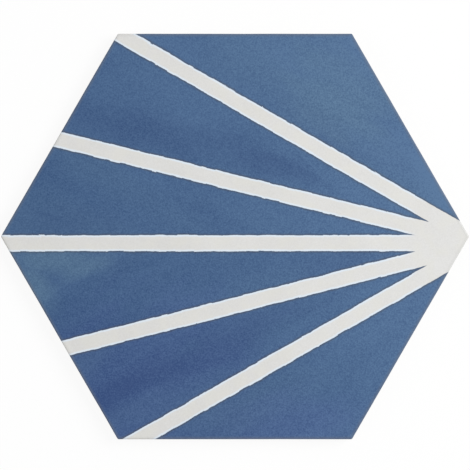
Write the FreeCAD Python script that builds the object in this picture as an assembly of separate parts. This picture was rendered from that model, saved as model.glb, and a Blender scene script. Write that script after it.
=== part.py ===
import FreeCAD, Part

import math
import os

# A pressed, fired hexagon floor tile, lying face up. Lengths are in millimetres.
# The origin is the centre of the back, +Z leaves the walking face and +X points at a corner.

# Outline
ACROSS_FLATS = 198.0
THICKNESS = 9.0
CORNER_RADIUS = 1.0

# Rim, from the walking face down: a cushioned arris, an upright band that sets the joint
# between tiles, a wall that draws in so that bedding mortar has room, and a small bevel.
ARRIS_RADIUS = 0.8
BAND_FOOT = 4.5
DRAW_IN = 0.5
BACK_BEVEL = 0.3

# Back: a honeycomb of shallow pockets inside a flat border, so that the adhesive keys into the tile.
# The ribs between the pockets and the border are level, and the tile stands on them.
BORDER_WIDTH = 8.0
RIB_WIDTH = 2.6
POCKET_DEPTH = 0.8
POCKET_DRAFT = 30.0
POCKET_RINGS = 6

# How far a cutting tool starts below the back, and how close counts as level
OVERCUT = 0.5
TOLERANCE = 0.001

SIDES = 6
TURN = 360.0 / SIDES
SQRT3 = math.sqrt(3.0)


def polar(radius, degrees, z=0.0):
    """A point at a distance from the tile's axis, in a direction and at a height."""
    angle = math.radians(degrees)
    return FreeCAD.Vector(radius * math.cos(angle), radius * math.sin(angle), z)


def rim_outline(inset, z):
    """The tile's outline at a height, with arcs at its corners, drawn in by inset from its widest."""
    radius = CORNER_RADIUS - inset
    arc_centre = (ACROSS_FLATS / 2.0 - CORNER_RADIUS) * 2.0 / SQRT3
    edges = []
    for side in range(SIDES):
        corner = side * TURN
        centre = polar(arc_centre, corner, z)
        next_centre = polar(arc_centre, corner + TURN, z)
        start = centre + polar(radius, corner - TURN / 2.0)
        middle = centre + polar(radius, corner)
        end = centre + polar(radius, corner + TURN / 2.0)
        next_start = next_centre + polar(radius, corner + TURN / 2.0)
        edges.append(Part.Arc(start, middle, end).toShape())
        edges.append(Part.LineSegment(end, next_start).toShape())
    return Part.Wire(edges)


def blank():
    """The tile without its pockets: the rim's heights joined by straight walls, with a round arris on top."""
    rim = [
        rim_outline(DRAW_IN + BACK_BEVEL, 0.0),
        rim_outline(DRAW_IN, BACK_BEVEL),
        rim_outline(0.0, BAND_FOOT),
        rim_outline(0.0, THICKNESS),
    ]
    solid = Part.makeLoft(rim, True, True)
    arris = [edge for edge in solid.Edges if edge.BoundBox.ZMin > THICKNESS - TOLERANCE]
    return solid.makeFillet(ARRIS_RADIUS, arris)


def pocket_pitch():
    """The pocket spacing at which the rings fill the back up to the flat border."""
    field = ACROSS_FLATS / 2.0 - BORDER_WIDTH
    return (field + RIB_WIDTH / SQRT3) / (POCKET_RINGS * SQRT3 / 2.0 + 1.0 / SQRT3)


def pocket_corners(mouth, z):
    """A pocket's six corners at a height: its walls lean in as they rise from the back."""
    flats = mouth - 2.0 * z * math.tan(math.radians(POCKET_DRAFT))
    return [polar(flats / SQRT3, (side + 0.5) * TURN, z) for side in range(SIDES)]


def tapered_block(lower, upper):
    """A solid with flat walls between two like outlines, each a list of corners."""
    outlines = [lower, upper]
    for side in range(len(lower)):
        after = (side + 1) % len(lower)
        outlines.append([lower[side], lower[after], upper[after], upper[side]])
    faces = [Part.Face(Part.makePolygon(outline + outline[:1])) for outline in outlines]
    return Part.Solid(Part.Shell(faces))


def pocket_centres(pitch):
    """The honeycomb's centres, ring by ring from the middle of the back."""
    centres = [FreeCAD.Vector()]
    for ring in range(1, POCKET_RINGS + 1):
        for side in range(SIDES):
            corner = polar(ring * pitch, side * TURN)
            along = polar(pitch, (side + 2) * TURN)
            centres += [corner + along * step for step in range(ring)]
    return centres


def pockets():
    """The cutting tools of all pockets."""
    pitch = pocket_pitch()
    mouth = pitch - RIB_WIDTH
    pocket = tapered_block(pocket_corners(mouth, -OVERCUT), pocket_corners(mouth, POCKET_DEPTH))
    return [pocket.translated(centre) for centre in pocket_centres(pitch)]


tile = blank().cut(Part.makeCompound(pockets()))

os.makedirs("parts", exist_ok=True)
tile.exportStep("parts/hexagon_tile.step")

box = tile.BoundBox
print("solids", len(tile.Solids), "valid", tile.isValid(), "faces", len(tile.Faces))
print("size %.2f x %.2f x %.2f mm" % (box.XLength, box.YLength, box.ZLength))
print("pockets", len(pocket_centres(pocket_pitch())), "pitch %.2f mm" % pocket_pitch())
print("volume %.1f cm3" % (tile.Volume / 1000.0))
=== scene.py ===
import math
from typing import NamedTuple

import bpy
from mathutils import Color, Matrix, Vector, noise
from mathutils.geometry import delaunay_2d_cdt


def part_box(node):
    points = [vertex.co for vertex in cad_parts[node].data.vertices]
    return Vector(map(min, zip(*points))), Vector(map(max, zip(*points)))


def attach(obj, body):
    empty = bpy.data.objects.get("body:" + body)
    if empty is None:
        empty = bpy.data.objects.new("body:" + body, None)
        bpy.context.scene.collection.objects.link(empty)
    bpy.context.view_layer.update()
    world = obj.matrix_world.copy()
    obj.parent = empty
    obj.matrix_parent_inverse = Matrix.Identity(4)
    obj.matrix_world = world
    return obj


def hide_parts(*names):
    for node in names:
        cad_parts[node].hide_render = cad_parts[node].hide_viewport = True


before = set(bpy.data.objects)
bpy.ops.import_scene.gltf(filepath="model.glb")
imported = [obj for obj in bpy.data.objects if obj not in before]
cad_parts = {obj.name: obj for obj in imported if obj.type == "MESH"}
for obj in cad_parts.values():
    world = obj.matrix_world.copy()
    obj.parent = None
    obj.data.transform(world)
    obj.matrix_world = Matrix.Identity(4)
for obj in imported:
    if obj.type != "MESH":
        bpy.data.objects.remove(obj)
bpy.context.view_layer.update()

# A pressed and glazed hexagon floor tile on a pale floor, seen from straight above.
# +X points at the corner that the stripes fan from, and +Z leaves the walking face.
# Lengths are in metres.

MM = 0.001
NODE = "hexagon_tile"
BODY = "root"

# Outline and rim, as in the CAD part
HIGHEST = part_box(NODE)[1]
HALF_FLATS = HIGHEST.y
CORNER_REACH = HIGHEST.x
THICKNESS = HIGHEST.z
CORNER_RADIUS = 1.0 * MM
ARRIS_RADIUS = 0.8 * MM
BAND_FOOT = 4.5 * MM
DRAW_IN = 0.5 * MM
BACK_BEVEL = 0.3 * MM

SIDES = 6
SQRT3 = math.sqrt(3.0)
CORE_REACH = (HALF_FLATS - CORNER_RADIUS) * 2.0 / SQRT3

# Back, as in the CAD part, with the pockets' edges softened
BORDER_WIDTH = 8.0 * MM
RIB_WIDTH = 2.6 * MM
POCKET_DEPTH = 0.8 * MM
POCKET_DRAFT = math.radians(30.0)
POCKET_RINGS = 6
POCKET_CORNER = 1.3 * MM
MOUTH_ROUND = 0.35 * MM
FLOOR_ROUND = 0.3 * MM

# Mesh steps
SIDE_STEPS = 56
CORNER_STEPS = 6
ARRIS_STEPS = 8
WALL_STEPS = 3
POCKET_CORNER_STEPS = 3
ROUND_STEPS = 3
LOOP_GAP = 0.15 * MM
FLOOR_LOOP = 0.3 * MM

# Triangulation of the back: only inside its outline, and how close points are one point
INSIDE_OUTLINE = 1
WELD = 1e-6 * MM

# Unevenness of the pressed and fired tile, always inward from the CAD outline.
# The face's fades away down the arris and as far again below it.
FACE_DIP = 0.09 * MM
FACE_WAVE = 38.0 * MM
FACE_FADE = 2.0 * ARRIS_RADIUS
RIM_DIP = 0.10 * MM
RIM_WAVE = 14.0 * MM

# The tile's surfaces, as numbers of its mesh's materials
FACE, RIM, BACK = range(3)

# The surfaces' windows on the texture sheet, as fractions of it: lowest u and v, then highest u and v.
# The rim has a strip for each side, which fills a share of its own band of the window.
SHEET = "OFBake"
PLAN_WINDOWS = {
    FACE: (0.010, 0.312, 0.990, 0.990),
    BACK: (0.010, 0.010, 0.350, 0.300),
}
RIM_WINDOW = (0.370, 0.010, 0.990, 0.300)
RIM_STRIP_SHARE = 0.9


class Lumps(NamedTuple):
    """A layer of noise: the size of its lumps, and how far it swings. Its number sets it apart."""

    layer: int
    size: float
    reach: float = 1.0
    detail: float = 2.0
    roughness: float = 0.5


# Layers of noise, and how far apart they are read
LAYER_GAP = 0.37
PATCHES = Lumps(1, 45.0 * MM, detail=1.0)
MOTTLE = Lumps(2, 6.0 * MM, reach=0.16)
WAVER = Lumps(3, 6.0 * MM, reach=0.85 * MM, detail=3.0, roughness=0.7)
STROKE_EDGE = Lumps(4, 16.0 * MM)
CLOUDS = Lumps(5, 26.0 * MM, reach=0.42)
WHITE_CLOUDS = Lumps(6, 16.0 * MM, reach=0.4)
GRAIN = Lumps(7, 0.72 * MM, reach=1.85, roughness=0.7)
GLAZE_WAVES = Lumps(8, 5.0 * MM, reach=0.05 * MM, detail=1.0)
GLAZE_RIPPLES = Lumps(9, 0.7 * MM, reach=0.012 * MM, detail=1.0)
BODY_GRAIN = Lumps(10, 1.4 * MM, detail=3.0)
BODY_CLOUDS = Lumps(11, 18.0 * MM, reach=0.6)
SPECKS = Lumps(12, 0.8 * MM, detail=1.0)
DUST = Lumps(13, 9.0 * MM, detail=3.0)
BODY_RELIEF = Lumps(14, 3.0 * MM, reach=0.16 * MM, detail=4.0, roughness=0.6)
LIP_EDGE = Lumps(15, 9.0 * MM, reach=1.4 * MM, detail=3.0)
NOTCHES = Lumps(16, 4.5 * MM, reach=0.45 * MM)
WARMTH = Lumps(17, 7.0 * MM)

# In the names below, a tone is a screen colour in steps of 0 to 255, and tones are a darker and a paler
# one. A shade lies between the two, at 0 to 1, and a gain is how much it rises over the corner reach.
# A span is where a smooth step is 0 and where it is whole, and a share is how much of something is taken.
SCREEN_STEPS = 255.0

# The middle of a shade and of noise
MIDDLE = 0.5

# The printed fan: straight stripes of one width that meet a little outside the +X corner.
# A stripe's angle is how steeply it falls towards that corner. Beyond a span of distances from where
# they meet, the stripes are apart and have borders of their own.
HEART = Vector((120.6 * MM, -3.25 * MM, 0.0))
STRIPE_ANGLES = (29.95, 13.75, 0.0, -14.15, -29.75)
STRIPE_WIDTH = 7.85 * MM
STRIPE_SPAN = (-0.12 * MM, 0.12 * MM)
PARTED_SPAN = (33.0 * MM, 41.0 * MM)

# Blue glaze. Its grain is a little stronger to the right, and patches of it are a little greener.
BLUE_TONES = ((38, 69, 112), (81, 112, 149))
VIOLET_TONES = ((42, 65, 119), (85, 108, 157))
GREEN_TONES = ((59, 91, 121), (103, 134, 161))
DEEP_TONE = (50, 70, 117)
BLUE_SHADE = 0.55
BLUE_GAIN_X = 0.3
BLUE_GAIN_Y = 0.14
BLUE_GAIN_ENDS = 0.08
GRAIN_SHARE = 0.95
GRAIN_GAIN_X = 0.2
PATCH_SPAN = (0.45, 0.75)
PATCH_SHARE = 0.2

# Brushing of the blue: on both sides of the middle stripe it runs towards that stripe and the +X corner
BRUSH_SLOPE = math.radians(30.0)
BRUSH_STRETCH = (2.0, 0.7, 1.0)

# A stroke's distances from its middle, as shares of its reach: where it begins and where it is whole
STROKE_SPAN = (1.0, 0.2)

# Deeper strokes, and paler ones with a strength below 0, then greener ones and ones nearer to violet.
# Each has its centre and its reach along and across in millimetres, its turn in degrees and its strength.
DEEP_STROKES = (
    ((-40.0, 51.0), (95.0, 13.0), -13.0, 0.10),
    ((16.0, 33.0), (30.0, 10.0), -8.0, 0.11),
    ((42.0, 52.0), (34.0, 12.0), -32.0, 0.07),
    ((-10.0, -54.0), (85.0, 13.0), 23.0, 0.11),
    ((-42.0, -66.0), (28.0, 11.0), 25.0, 0.10),
    ((-64.0, -80.0), (24.0, 12.0), 35.0, 0.09),
    ((52.0, -12.0), (32.0, 9.0), 10.0, 0.10),
    ((-85.0, 6.0), (42.0, 12.0), 0.0, 0.07),
    ((100.0, 20.0), (26.0, 12.0), -60.0, -0.17),
    ((30.0, -47.0), (26.0, 9.0), 25.0, -0.11),
)
GREEN_STROKES = (
    ((-93.0, -11.0), (38.0, 14.0), -3.0, 0.68),
    ((-98.0, -23.0), (24.0, 14.0), -60.0, 0.65),
    ((48.0, 68.0), (45.0, 32.0), -45.0, 0.5),
)
VIOLET_STROKES = (
    ((-58.0, -72.0), (105.0, 56.0), 18.0, 0.42),
    ((15.0, -92.0), (65.0, 28.0), 0.0, 0.40),
)

# White glaze of the stripes
WHITE_TONES = ((207, 206, 203), (227, 227, 226))
WARM_TONE = (221, 220, 212)
# Painted light: how much the white's shade rises towards +X, as light falling from that side would
WHITE_PAINTED_LIGHT_GAIN_X = 0.11
WHITE_GRAIN_SHARE = 0.5
WARM_SPAN = (0.4, 0.65)
WARM_SHARE = 0.35

# Stripe borders, by the depth inside a stripe: painted shade outside them, a painted highlight inside
BORDER_SHADE_TONE = (66, 64, 62)
BORDER_SHADE_SPAN = (-1.3 * MM, -0.3 * MM)
BORDER_SHADE_SHARE = 0.45
BORDER_HIGHLIGHT_TONE = (221, 234, 247)
BORDER_HIGHLIGHT_SPAN = (1.2 * MM, 0.4 * MM)
BORDER_HIGHLIGHT_SHARE = 0.8

# Painted shade along the tile's sides, by the depth inside the tile, for the arris's shading
EDGE_SHADE_SPAN = (2.0 * MM, 0.5 * MM)
EDGE_SHADE_WAVER_SHARE = 0.5
EDGE_SHADE_BLUE_TONE = (96, 104, 118)
EDGE_SHADE_BLUE_SHARE = 0.45
EDGE_SHADE_WHITE_TONE = (178, 178, 176)
EDGE_SHADE_WHITE_SHARE = 0.2

# Lip on the rim, where the glaze ends below the arris
LIP_DROP = 1.2 * MM
LIP_FADE = 0.25 * MM
LIP_HEIGHT = THICKNESS - ARRIS_RADIUS - LIP_DROP
LIP_SPAN = (LIP_HEIGHT - LIP_FADE, LIP_HEIGHT + LIP_FADE)

# Bare fired body, with dust from the kiln's rollers on its ribs
BODY_TONES = ((176, 166, 150), (206, 197, 182))
BODY_GRAIN_SHARE = 0.8
SPECK_TONE = (120, 108, 94)
SPECK_SPAN = (0.68, 0.74)
SPECK_SHARE = 0.5
DUST_TONE = (222, 218, 210)
DUST_SPAN = (0.42, 0.6)
DUST_SHARE = 0.5
RIB_SPAN = (0.25 * MM, 0.02 * MM)

# Gloss
SPECULAR = 0.25
GLAZE_ROUGHNESS = 0.52
GLAZE_ROUGHNESS_SWING = 0.1
BODY_ROUGHNESS = 0.86
BODY_ROUGHNESS_SWING = 0.2

# Camera and photo frame
PHOTO_PIXELS = 470
PIXELS_PER_MM = 2.05
TILE_CENTRE_PIXEL = (234.9, 236.5)
LENS = 200.0
SENSOR = 36.0

# Light. Each softbox has its name, its place, its size and its power in watts.
WHITE = (1.0, 1.0, 1.0, 1.0)
WORLD_LIGHT = 0.45
SOFTBOXES = (
    ("key_light", (0.95, 0.35, 1.15), 0.9, 16.0),
    ("fill_light", (-1.1, -0.2, 1.2), 1.2, 4.0),
)

# Floor: it glows a little less near the tile, where it keeps the shadow
FLOOR_SIZE = 6.0
FLOOR_COLOUR = (0.95, 0.95, 0.95, 1.0)
FLOOR_GLOW = 0.90
WHITER_SPAN = (0.2, 0.8)


def heading(turns):
    """The unit vector at a number of sixths of a turn from +X."""
    angle = turns * math.tau / SIDES
    return Vector((math.cos(angle), math.sin(angle), 0.0))


def at_height(points, z):
    """The points moved to one height."""
    return [Vector((point.x, point.y, z)) for point in points]


class Skin:
    """Collects a mesh's points, and its faces with each corner's place on the texture sheet."""

    def __init__(self):
        self.points = []
        self.faces = []
        self.spots = []
        self.surfaces = []

    def add_points(self, points):
        """Adds points and gives back their numbers."""
        first = len(self.points)
        self.points += points
        return list(range(first, len(self.points)))

    def add_face(self, corners, spots, surface):
        """Adds a face of a surface, with a spot on the texture sheet for each corner."""
        self.faces.append(corners)
        self.spots.append(spots)
        self.surfaces.append(surface)

    def add_plan_face(self, corners, surface):
        """Adds a face whose place on the sheet is its plan."""
        window = PLAN_WINDOWS[surface]
        self.add_face(corners, [plan_spot(self.points[corner], window) for corner in corners], surface)

    def add_plan_ladder(self, near, far, surface):
        """Adds the faces between two rings, where a rung's two ends may be one point."""
        for rung in range(len(near)):
            after = (rung + 1) % len(near)
            corners = dict.fromkeys((near[rung], far[rung], far[after], near[after]))
            self.add_plan_face(tuple(corners), surface)

    def to_object(self, name):
        """The mesh as an object of the scene."""
        mesh = bpy.data.meshes.new(name)
        mesh.from_pydata(self.points, [], self.faces)
        sheet = mesh.uv_layers.new(name=SHEET)
        spots = [number for face in self.spots for spot in face for number in spot]
        sheet.data.foreach_set("uv", spots)
        mesh.polygons.foreach_set("use_smooth", [True] * len(mesh.polygons))
        mesh.polygons.foreach_set("material_index", self.surfaces)
        mesh.validate()
        mesh.update()
        piece = bpy.data.objects.new(name, mesh)
        bpy.context.scene.collection.objects.link(piece)
        return piece


def plan_spot(point, window):
    """Where a point seen in plan lies in a window of the texture sheet."""
    across = (point.x / CORNER_REACH + 1.0) / 2.0
    along = (point.y / HALF_FLATS + 1.0) / 2.0
    low_u, low_v, high_u, high_v = window
    return (low_u + across * (high_u - low_u), low_v + along * (high_v - low_v))


def face_lattice(skin):
    """Lays triangles over the flat of the walking face and gives back its border's point numbers."""
    axes = ((1, 0), (0, 1), (-1, 1), (-1, 0), (0, -1), (1, -1))
    pace = CORE_REACH / SIDE_STEPS
    numbers = {}
    reach = range(-SIDE_STEPS, SIDE_STEPS + 1)
    for p in reach:
        for q in reach:
            if abs(p + q) <= SIDE_STEPS:
                place = (heading(0) * p + heading(1) * q) * pace
                numbers[p, q] = skin.add_points(at_height([place], THICKNESS))[0]
    for p, q in numbers:
        for cell in (((p, q), (p + 1, q), (p, q + 1)), ((p, q), (p, q + 1), (p - 1, q + 1))):
            if all(corner in numbers for corner in cell):
                skin.add_plan_face(tuple(numbers[corner] for corner in cell), FACE)
    border = []
    for side in range(SIDES):
        start, end = axes[side], axes[(side + 1) % SIDES]
        for step in range(SIDE_STEPS):
            left = SIDE_STEPS - step
            border.append(numbers[start[0] * left + end[0] * step, start[1] * left + end[1] * step])
        border += [numbers[end[0] * SIDE_STEPS, end[1] * SIDE_STEPS]] * CORNER_STEPS
    return border


def rim_ring(spread, z):
    """The tile's outline at a height, spread out from the hexagon of the corner arcs' centres."""
    points = []
    for side in range(SIDES):
        start = heading(side) * CORE_REACH
        end = heading(side + 1) * CORE_REACH
        outward = heading(side + 0.5) * spread
        points += [start.lerp(end, step / SIDE_STEPS) + outward for step in range(SIDE_STEPS)]
        for step in range(CORNER_STEPS):
            points.append(end + heading(side + 0.5 + step / CORNER_STEPS) * spread)
    return at_height(points, z)


def arris_profile():
    """The round edge of the walking face, as pairs of spread and height from the top down."""
    flat = CORNER_RADIUS - ARRIS_RADIUS
    profile = []
    for step in range(ARRIS_STEPS + 1):
        turn = step / ARRIS_STEPS * math.pi / 2.0
        drop = ARRIS_RADIUS * (1.0 - math.cos(turn))
        profile.append((flat + ARRIS_RADIUS * math.sin(turn), THICKNESS - drop))
    return profile


def wall_profile():
    """The rim below its arris, as pairs of spread and height, with a loop close on each side of a bend."""
    bends = [
        Vector((CORNER_RADIUS, THICKNESS - ARRIS_RADIUS)),
        Vector((CORNER_RADIUS, BAND_FOOT)),
        Vector((CORNER_RADIUS - DRAW_IN, BACK_BEVEL)),
        Vector((CORNER_RADIUS - DRAW_IN - BACK_BEVEL, 0.0)),
    ]
    profile = []
    for above, below in zip(bends, bends[1:]):
        gap = LOOP_GAP / (below - above).length
        shares = [gap + (1.0 - 2.0 * gap) * step / WALL_STEPS for step in range(WALL_STEPS + 1)]
        profile += [above.lerp(below, share) for share in shares]
        profile.append(below)
    return [(spread, z) for spread, z in profile]


def rim_strip_spots(side, places, depths):
    """The texture places of one side's strip of the rim: u runs along the side, and v down it."""
    low_u, low_v, high_u, high_v = RIM_WINDOW
    band = (high_v - low_v) / SIDES
    top_v = low_v + band * (side + RIM_STRIP_SHARE)
    return [
        [(low_u + place * (high_u - low_u), top_v - depth * band * RIM_STRIP_SHARE) for place in places]
        for depth in depths
    ]


def shares_along(points):
    """How far along a line each of its points is, from 0 to 1."""
    lengths = [0.0]
    for before, after in zip(points, points[1:]):
        lengths.append(lengths[-1] + (after - before).length)
    return [length / lengths[-1] for length in lengths]


def rim_walls(skin, rings, profile):
    """The rim from the middle of its arris down to the back, one strip of the sheet for each side."""
    depths = shares_along([Vector(pair) for pair in profile])
    pace = SIDE_STEPS + CORNER_STEPS
    count = len(rings[0])
    outline = [skin.points[number] for number in rings[0]]
    for side in range(SIDES):
        span = [(side * pace + step) % count for step in range(pace + 1)]
        places = shares_along([outline[number] for number in span])
        spots = rim_strip_spots(side, places, depths)
        for row in range(len(rings) - 1):
            for step in range(pace):
                cell = ((row, step), (row + 1, step), (row + 1, step + 1), (row, step + 1))
                corners = tuple(rings[down][span[along]] for down, along in cell)
                skin.add_face(corners, [spots[down][along] for down, along in cell], RIM)


def pocket_pitch():
    """The pocket spacing at which the rings fill the back up to the flat border."""
    field = HALF_FLATS - BORDER_WIDTH
    return (field + RIB_WIDTH / SQRT3) / (POCKET_RINGS * SQRT3 / 2.0 + 1.0 / SQRT3)


def pocket_centres(pitch):
    """The honeycomb's centres, ring by ring from the middle of the back."""
    centres = [Vector((0.0, 0.0, 0.0))]
    for ring in range(1, POCKET_RINGS + 1):
        for side in range(SIDES):
            for step in range(ring):
                centres.append((heading(side) * (ring - step) + heading(side + 1) * step) * pitch)
    return centres


def pocket_ring(centre, half_mouth, spread, z):
    """A pocket's outline at a height, with round corners, spread out from its mouth's."""
    radius = POCKET_CORNER + spread
    reach = (half_mouth - POCKET_CORNER) * 2.0 / SQRT3
    points = []
    for side in range(SIDES):
        arc_centre = centre + heading(side + 0.5) * reach
        for step in range(POCKET_CORNER_STEPS + 1):
            points.append(arc_centre + heading(side + step / POCKET_CORNER_STEPS) * radius)
    return at_height(points, z)


def rounded_bend(corner, back, ahead, radius):
    """Points of an arc that rounds a bend between the ways back and ahead, in a section."""
    half_turn = (math.pi - back.angle(ahead)) / 2.0
    tangent = radius * math.tan(half_turn)
    centre = corner + (back + ahead).normalized() * (radius / math.cos(half_turn))
    start = corner + back * tangent - centre
    end = corner + ahead * tangent - centre
    shares = [step / ROUND_STEPS for step in range(ROUND_STEPS + 1)]
    return [centre + start.lerp(end, share).normalized() * radius for share in shares]


def pocket_profile():
    """A pocket in section from the ribs up to its floor, as pairs of spread and height."""
    foot = Vector((0.0, 0.0))
    head = Vector((-POCKET_DEPTH * math.tan(POCKET_DRAFT), POCKET_DEPTH))
    up_wall = (head - foot).normalized()
    outward = Vector((1.0, 0.0))
    profile = rounded_bend(foot, outward, up_wall, MOUTH_ROUND)
    profile += rounded_bend(head, -up_wall, -outward, FLOOR_ROUND)
    profile.append(profile[-1] - outward * FLOOR_LOOP)
    return [(spread, z) for spread, z in profile]


def back_pockets(skin):
    """Lays every pocket's walls and floor, and gives back each pocket's ring on the ribs."""
    pitch = pocket_pitch()
    half_mouth = (pitch - RIB_WIDTH) / 2.0
    profile = pocket_profile()
    rib_spread = profile[0][0] + LOOP_GAP
    mouths = []
    for centre in pocket_centres(pitch):
        rings = [skin.add_points(pocket_ring(centre, half_mouth, rib_spread, 0.0))]
        rings += [skin.add_points(pocket_ring(centre, half_mouth, spread, z)) for spread, z in profile]
        rings.append(skin.add_points(at_height([centre], POCKET_DEPTH)) * len(rings[0]))
        for near, far in zip(rings, rings[1:]):
            skin.add_plan_ladder(near, far, BACK)
        mouths.append(rings[0])
    return mouths


def back_land(skin, border, mouths):
    """The level ribs and border of the back: a triangulation between the border's ring and the mouths."""
    rings = [border] + mouths
    numbers = [number for ring in rings for number in ring]
    ring_of = {number: index for index, ring in enumerate(rings) for number in ring}
    place_of = {number: index for index, number in enumerate(numbers)}
    edges = []
    for ring in rings:
        edges += [(place_of[start], place_of[end]) for start, end in zip(ring, ring[1:] + ring[:1])]
    plan = [skin.points[number].xy for number in numbers]
    _, _, faces, origins, _, _ = delaunay_2d_cdt(plan, edges, [], INSIDE_OUTLINE, WELD)
    for face in faces:
        corners = [numbers[origins[index][0]] for index in face]
        owners = {ring_of[corner] for corner in corners}
        if len(owners) > 1 or owners == {0}:
            skin.add_plan_face(tuple(reversed(corners)), BACK)


def smoothstep(value, low, high):
    """A smooth step from 0 at low to 1 at high."""
    share = min(max((value - low) / (high - low), 0.0), 1.0)
    return share * share * (3.0 - 2.0 * share)


def dip(point, wave):
    """A smooth unevenness between 0 and 1."""
    return 0.5 + 0.5 * max(-1.0, min(1.0, noise.noise(point / wave)))


def settle(point):
    """A point moved inward by the slight unevenness of the pressed tile."""
    flats = max(point.dot(heading(side + 0.5)) for side in range(SIDES))
    core = HALF_FLATS - CORNER_RADIUS
    face_share = smoothstep(point.z, THICKNESS - FACE_FADE, THICKNESS)
    rim_share = smoothstep(flats, core, core + CORNER_RADIUS - DRAW_IN)
    drop = FACE_DIP * face_share * dip(point, FACE_WAVE)
    draw = RIM_DIP * rim_share * dip(point, RIM_WAVE) / HALF_FLATS
    return Vector((point.x * (1.0 - draw), point.y * (1.0 - draw), point.z - drop))


def pressed_tile():
    """The whole tile as one closed mesh."""
    skin = Skin()
    border = face_lattice(skin)
    flat = CORNER_RADIUS - ARRIS_RADIUS
    arris = arris_profile()
    middle = ARRIS_STEPS // 2
    profile = [(flat - LOOP_GAP, THICKNESS)] + arris[:middle + 1]
    rings = [border] + [skin.add_points(rim_ring(spread, z)) for spread, z in profile]
    for near, far in zip(rings, rings[1:]):
        skin.add_plan_ladder(near, far, FACE)

    lower_profile = arris[middle + 1:] + wall_profile()
    lower_rings = [skin.add_points(rim_ring(spread, z)) for spread, z in lower_profile]
    rim_walls(skin, [rings[-1]] + lower_rings, [arris[middle]] + lower_profile)

    foot_spread = lower_profile[-1][0] - LOOP_GAP
    foot = skin.add_points(rim_ring(foot_spread, 0.0))
    skin.add_plan_ladder(lower_rings[-1], foot, BACK)
    back_land(skin, foot, back_pockets(skin))
    skin.points = [settle(point) for point in skin.points]
    return skin.to_object("pressed_tile")


def node_colour(tone):
    """The colour that a node's socket takes for a tone."""
    colour = Color([step / SCREEN_STEPS for step in tone]).from_srgb_to_scene_linear()
    return (*colour, 1.0)


class Graph:
    """Adds nodes to a node tree. Apart from node and vector_math, each call gives back one output."""

    def __init__(self, tree):
        self.tree = tree
        self.tree.nodes.clear()

    def node(self, kind, values=(), **settings):
        """Adds a node, with its settings and the values or links of its inputs by name or place."""
        made = self.tree.nodes.new(kind)
        for name, value in settings.items():
            setattr(made, name, value)
        for key, value in dict(values).items():
            if isinstance(value, bpy.types.NodeSocket):
                self.tree.links.new(value, made.inputs[key])
            else:
                made.inputs[key].default_value = value
        return made

    def math(self, operation, first, second=0.0):
        """The result of an operation on one or two numbers."""
        return self.node("ShaderNodeMath", {0: first, 1: second}, operation=operation).outputs[0]

    def fold(self, operation, numbers):
        """Numbers taken together by an operation, one after the other."""
        total, *others = numbers
        for number in others:
            total = self.math(operation, total, number)
        return total

    def add(self, *numbers):
        """The sum of numbers."""
        return self.fold("ADD", numbers)

    def scaled(self, number, factor):
        """A number times a factor."""
        return self.math("MULTIPLY", number, factor)

    def vector_math(self, operation, *vectors):
        """The outputs of an operation on one or two vectors."""
        return self.node("ShaderNodeVectorMath", enumerate(vectors), operation=operation).outputs

    def plus(self, first, second):
        """The sum of two vectors."""
        return self.vector_math("ADD", first, second)["Vector"]

    def minus(self, first, second):
        """The first of two vectors less the second."""
        return self.vector_math("SUBTRACT", first, second)["Vector"]

    def dot(self, first, second):
        """The dot product of two vectors."""
        return self.vector_math("DOT_PRODUCT", first, second)["Value"]

    def length(self, vector):
        """The length of a vector."""
        return self.vector_math("LENGTH", vector)["Value"]

    def along(self, place, axis):
        """How far along an axis a place is."""
        return self.node("ShaderNodeSeparateXYZ", {0: place}).outputs[axis]

    def step(self, number, span, share=1.0):
        """A smooth step from 0 at a span's start to a share at its end."""
        values = {"Value": number, "From Min": span[0], "From Max": span[1], "To Max": share}
        return self.node("ShaderNodeMapRange", values, interpolation_type="SMOOTHSTEP").outputs[0]

    def blend(self, share, first, second, kind="FLOAT"):
        """What lies between two numbers, or between two colours if the kind is RGBA."""
        values = {"Factor": share, "A": first, "B": second}
        return self.node("ShaderNodeMix", values, data_type=kind).outputs["Result"]

    def mix(self, share, first, second):
        """A colour between two."""
        return self.blend(share, first, second, "RGBA")

    def shaded(self, shade, tones):
        """A colour between a darker and a paler tone."""
        return self.mix(shade, *[node_colour(tone) for tone in tones])

    def tinted(self, share, colour, tone):
        """A colour with a share of a tone over it."""
        return self.mix(share, colour, node_colour(tone))

    def apart(self, place, layer):
        """The place at which a layer of noise is read."""
        return self.plus(place, (layer * LAYER_GAP,) * 3)

    def noise(self, place, lumps):
        """Noise about the middle."""
        values = {
            "Vector": self.apart(place, lumps.layer),
            "Scale": 1.0 / lumps.size,
            "Detail": lumps.detail,
            "Roughness": lumps.roughness,
        }
        return self.node("ShaderNodeTexNoise", values).outputs[0]

    def swing(self, place, lumps):
        """Noise about 0, times its reach."""
        return self.scaled(self.math("SUBTRACT", self.noise(place, lumps), MIDDLE), lumps.reach)

    def notch(self, place, lumps):
        """A number about 0 that is the same all over each of many small cells, times its reach."""
        values = {"Vector": self.apart(place, lumps.layer), "Scale": 1.0 / lumps.size}
        cell = self.node("ShaderNodeTexVoronoi", values).outputs["Color"]
        return self.scaled(self.math("SUBTRACT", cell, MIDDLE), lumps.reach)

    def seen_by(self, place, turn, stretch, centre=(0.0, 0.0, 0.0)):
        """A place as seen by something at a centre that is turned about Z and stretched."""
        values = {"Vector": place, "Location": centre, "Rotation": (0.0, 0.0, turn), "Scale": stretch}
        return self.node("ShaderNodeMapping", values, vector_type="TEXTURE").outputs[0]

    def stroke(self, place, ragged, centre, reach, turn, strength):
        """A soft oval stroke: its strength in its middle, 0 outside it, with a ragged border."""
        middle = (centre[0] * MM, centre[1] * MM, THICKNESS)
        stretch = (reach[0] * MM, reach[1] * MM, 1.0)
        distance = self.length(self.seen_by(place, math.radians(turn), stretch, middle))
        return self.step(self.add(distance, ragged), STROKE_SPAN, strength)


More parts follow.
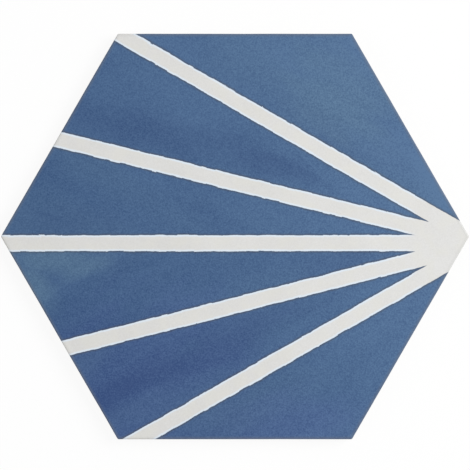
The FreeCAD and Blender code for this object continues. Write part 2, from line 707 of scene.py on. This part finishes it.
def stripe_depth(graph, place):
    """How far inside the nearest stripe a place is, and below 0 outside the stripes."""
    offset = graph.minus(place, HEART)
    distances = []
    for angle in STRIPE_ANGLES:
        slope = math.radians(angle)
        across = (math.sin(slope), math.cos(slope), 0.0)
        distances.append(graph.math("ABSOLUTE", graph.dot(offset, across)))
    return graph.math("SUBTRACT", STRIPE_WIDTH / 2.0, graph.fold("MINIMUM", distances))


def depth_inside(graph, place):
    """How far inside the tile's nearest side a place is."""
    headings = [heading(side + 0.5) for side in range(SIDES // 2)]
    reaches = [graph.math("ABSOLUTE", graph.dot(place, out)) for out in headings]
    return graph.math("SUBTRACT", HALF_FLATS, graph.fold("MAXIMUM", reaches))


def brushed_place(graph, place):
    """The place as the brushing sees it: folded at the middle stripe and drawn out along the strokes."""
    aside = graph.math("SUBTRACT", graph.along(place, "Y"), HEART.y)
    values = {0: graph.along(place, "X"), 1: graph.math("ABSOLUTE", aside), 2: graph.math("SIGN", aside)}
    folded = graph.node("ShaderNodeCombineXYZ", values).outputs[0]
    return graph.seen_by(folded, -BRUSH_SLOPE, BRUSH_STRETCH)


def strongest(graph, place, strokes, ragged):
    """The strength at a place of whichever of some strokes is the strongest there."""
    return graph.fold("MAXIMUM", [graph.stroke(place, ragged, *stroke) for stroke in strokes])


def blue_glaze(graph, place, grain):
    """The ground: a brushed matt blue, paler to the right, with deeper, greener and more violet strokes."""
    x = graph.along(place, "X")
    y = graph.along(place, "Y")
    brushed = brushed_place(graph, place)
    ragged = graph.swing(brushed, STROKE_EDGE)
    deep = graph.add(*[graph.stroke(place, ragged, *stroke) for stroke in DEEP_STROKES])

    grain_share = graph.add(GRAIN_SHARE, graph.scaled(x, GRAIN_GAIN_X / CORNER_REACH))
    fine = graph.add(graph.swing(brushed, MOTTLE), graph.math("MULTIPLY", grain, grain_share))
    shade = graph.add(
        BLUE_SHADE,
        graph.swing(brushed, CLOUDS),
        fine,
        graph.scaled(x, BLUE_GAIN_X / CORNER_REACH),
        graph.scaled(y, BLUE_GAIN_Y / CORNER_REACH),
        graph.scaled(graph.math("MULTIPLY", x, x), BLUE_GAIN_ENDS / CORNER_REACH ** 2),
        graph.scaled(deep, -1.0),
    )
    blue = graph.shaded(shade, BLUE_TONES)
    violet = graph.shaded(shade, VIOLET_TONES)
    blue = graph.mix(strongest(graph, place, VIOLET_STROKES, ragged), blue, violet)

    green = graph.shaded(graph.add(MIDDLE, fine), GREEN_TONES)
    patches = graph.step(graph.noise(brushed, PATCHES), PATCH_SPAN, PATCH_SHARE)
    greener = graph.math("MAXIMUM", patches, strongest(graph, place, GREEN_STROKES, ragged))
    return graph.tinted(deep, graph.mix(greener, blue, green), DEEP_TONE)


def white_glaze(graph, place, grain):
    """The stripes: an off-white with warmer spots, and painted light that greys it a little to the left."""
    # Painted light: the white grows a little paler towards +X
    gain = graph.scaled(graph.along(place, "X"), WHITE_PAINTED_LIGHT_GAIN_X / CORNER_REACH)
    clouds = graph.swing(place, WHITE_CLOUDS)
    shade = graph.add(MIDDLE, clouds, graph.scaled(grain, WHITE_GRAIN_SHARE), gain)
    warm = graph.step(graph.noise(place, WARMTH), WARM_SPAN, WARM_SHARE)
    return graph.tinted(warm, graph.shaded(shade, WHITE_TONES), WARM_TONE)


def printed_glaze(graph, place):
    """The matt glaze with its print: its colour, roughness and height."""
    grain = graph.swing(place, GRAIN)
    waver = graph.swing(place, WAVER)
    parted = graph.step(graph.length(graph.minus(place, HEART)), PARTED_SPAN)
    notch = graph.math("MULTIPLY", graph.notch(place, NOTCHES), parted)
    depth = graph.add(stripe_depth(graph, place), waver, notch)
    side_depth = graph.add(depth_inside(graph, place), graph.scaled(waver, EDGE_SHADE_WAVER_SHARE))

    # Painted shade: a dark line on the blue along each stripe's border
    border_shade = graph.step(depth, BORDER_SHADE_SPAN, BORDER_SHADE_SHARE)
    blue = graph.tinted(border_shade, blue_glaze(graph, place, grain), BORDER_SHADE_TONE)
    # Painted shade: the blue darkens along the tile's sides
    blue = graph.tinted(graph.step(side_depth, EDGE_SHADE_SPAN, EDGE_SHADE_BLUE_SHARE), blue, EDGE_SHADE_BLUE_TONE)

    # Painted highlight: a bright line inside each stripe's border
    border_highlight = graph.math("MULTIPLY", graph.step(depth, BORDER_HIGHLIGHT_SPAN, BORDER_HIGHLIGHT_SHARE), parted)
    white = graph.tinted(border_highlight, white_glaze(graph, place, grain), BORDER_HIGHLIGHT_TONE)
    # Painted shade: the white greys along the tile's sides
    white = graph.tinted(graph.step(side_depth, EDGE_SHADE_SPAN, EDGE_SHADE_WHITE_SHARE), white, EDGE_SHADE_WHITE_TONE)

    colour = graph.mix(graph.step(depth, STRIPE_SPAN), blue, white)
    roughness = graph.add(
        GLAZE_ROUGHNESS,
        graph.scaled(grain, GLAZE_ROUGHNESS_SWING),
        graph.scaled(waver, GLAZE_ROUGHNESS_SWING / MM),
    )
    height = graph.add(graph.swing(place, GLAZE_WAVES), graph.swing(place, GLAZE_RIPPLES))
    return colour, roughness, height


def fired_body(graph, place):
    """The bare pale body, with whiter dust on its ribs: its colour, roughness and height."""
    grain = graph.swing(place, BODY_GRAIN)
    shade = graph.add(MIDDLE, graph.scaled(grain, BODY_GRAIN_SHARE), graph.swing(place, BODY_CLOUDS))
    specks = graph.step(graph.noise(place, SPECKS), SPECK_SPAN, SPECK_SHARE)
    speckled = graph.tinted(specks, graph.shaded(shade, BODY_TONES), SPECK_TONE)
    on_ribs = graph.step(graph.along(place, "Z"), RIB_SPAN)
    dust = graph.math("MULTIPLY", on_ribs, graph.step(graph.noise(place, DUST), DUST_SPAN, DUST_SHARE))
    colour = graph.tinted(dust, speckled, DUST_TONE)
    roughness = graph.add(BODY_ROUGHNESS, graph.scaled(grain, BODY_ROUGHNESS_SWING))
    return colour, roughness, graph.swing(place, BODY_RELIEF)


def glaze_share(graph, place):
    """1 where glaze covers the tile: the face, its arris and a ragged lip on the rim below."""
    ragged = graph.add(graph.along(place, "Z"), graph.swing(place, LIP_EDGE))
    return graph.step(ragged, LIP_SPAN)


def glaze_over_body(graph, place):
    """The rim: printed glaze down to its ragged lip, and the bare body below."""
    share = glaze_share(graph, place)
    body_colour, body_roughness, body_height = fired_body(graph, place)
    glaze_colour, glaze_roughness, glaze_height = printed_glaze(graph, place)
    colour = graph.mix(share, body_colour, glaze_colour)
    roughness = graph.blend(share, body_roughness, glaze_roughness)
    return colour, roughness, graph.blend(share, body_height, glaze_height)


def ceramic(name, finish):
    """A material whose colour, roughness and height come from a finish."""
    material = bpy.data.materials.new(name)
    material.use_nodes = True
    graph = Graph(material.node_tree)
    place = graph.node("ShaderNodeTexCoord").outputs["Object"]
    colour, roughness, height = finish(graph, place)
    bump = graph.node("ShaderNodeBump", {"Height": height, "Distance": 1.0, "Strength": 1.0}).outputs[0]
    values = {"Base Color": colour, "Roughness": roughness, "Specular IOR Level": SPECULAR, "Normal": bump}
    shader = graph.node("ShaderNodeBsdfPrincipled", values).outputs[0]
    graph.node("ShaderNodeOutputMaterial", {"Surface": shader})
    return material


def background_rays(graph):
    """1 for rays that see the studio itself, straight on or in a reflection, and 0 for light."""
    path = graph.node("ShaderNodeLightPath").outputs
    kinds = ("Is Camera Ray", "Is Glossy Ray", "Is Transmission Ray")
    return graph.fold("MAXIMUM", [path[kind] for kind in kinds])


def white_floor():
    """A pale paint that looks white to the camera, and whiter away from the tile."""
    material = bpy.data.materials.new("white_floor")
    material.use_nodes = True
    graph = Graph(material.node_tree)
    paint = graph.node("ShaderNodeBsdfDiffuse", {"Color": FLOOR_COLOUR}).outputs[0]
    glow = graph.node("ShaderNodeEmission", {"Color": WHITE, "Strength": 1.0}).outputs[0]
    distance = graph.length(graph.node("ShaderNodeTexCoord").outputs["Object"])
    glow_share = graph.blend(graph.step(distance, WHITER_SPAN), FLOOR_GLOW, 1.0)
    share = graph.math("MULTIPLY", background_rays(graph), glow_share)
    mixed = graph.node("ShaderNodeMixShader", {0: share, 1: paint, 2: glow}).outputs[0]
    graph.node("ShaderNodeOutputMaterial", {"Surface": mixed})
    return material


def make_floor():
    """A plain white floor that keeps the tile's shadow."""
    mesh = bpy.data.meshes.new("floor")
    half = FLOOR_SIZE / 2.0
    corners = [(-half, -half, 0.0), (half, -half, 0.0), (half, half, 0.0), (-half, half, 0.0)]
    mesh.from_pydata(corners, [], [(0, 1, 2, 3)])
    mesh.materials.append(white_floor())
    floor = bpy.data.objects.new("floor", mesh)
    bpy.context.scene.collection.objects.link(floor)


def make_world():
    """Even white light from all round, in front of a white background."""
    world = bpy.data.worlds.new("studio")
    world.use_nodes = True
    bpy.context.scene.world = world
    graph = Graph(world.node_tree)
    light = graph.node("ShaderNodeBackground", {"Color": WHITE, "Strength": WORLD_LIGHT}).outputs[0]
    white = graph.node("ShaderNodeBackground", {"Color": WHITE, "Strength": 1.0}).outputs[0]
    mixed = graph.node("ShaderNodeMixShader", {0: background_rays(graph), 1: light, 2: white}).outputs[0]
    graph.node("ShaderNodeOutputWorld", {"Surface": mixed})


def make_softbox(name, place, size, watts):
    """A square lamp aimed at the tile."""
    data = bpy.data.lights.new(name, "AREA")
    data.shape = "SQUARE"
    data.size = size
    data.energy = watts
    lamp = bpy.data.objects.new(name, data)
    lamp.location = place
    lamp.rotation_euler = (-Vector(place)).to_track_quat("-Z", "Y").to_euler()
    bpy.context.scene.collection.objects.link(lamp)


def make_camera():
    """A long lens straight above, framed as in the photo."""
    data = bpy.data.cameras.new("camera")
    data.lens = LENS
    data.sensor_width = SENSOR
    camera = bpy.data.objects.new("camera", data)
    width = PHOTO_PIXELS / PIXELS_PER_MM * MM
    right = (PHOTO_PIXELS / 2.0 - TILE_CENTRE_PIXEL[0]) / PIXELS_PER_MM * MM
    up = (TILE_CENTRE_PIXEL[1] - PHOTO_PIXELS / 2.0) / PIXELS_PER_MM * MM
    camera.location = (right, up, THICKNESS + width * LENS / SENSOR)
    bpy.context.scene.collection.objects.link(camera)
    bpy.context.scene.camera = camera


tile = pressed_tile()
tile.data.materials.append(ceramic("matt_glaze", printed_glaze))
tile.data.materials.append(ceramic("glaze_edge", glaze_over_body))
tile.data.materials.append(ceramic("fired_body", fired_body))
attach(tile, BODY)
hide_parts(NODE)

make_floor()
make_world()
for softbox in SOFTBOXES:
    make_softbox(*softbox)
make_camera()
bpy.context.scene.view_settings.view_transform = "Standard"
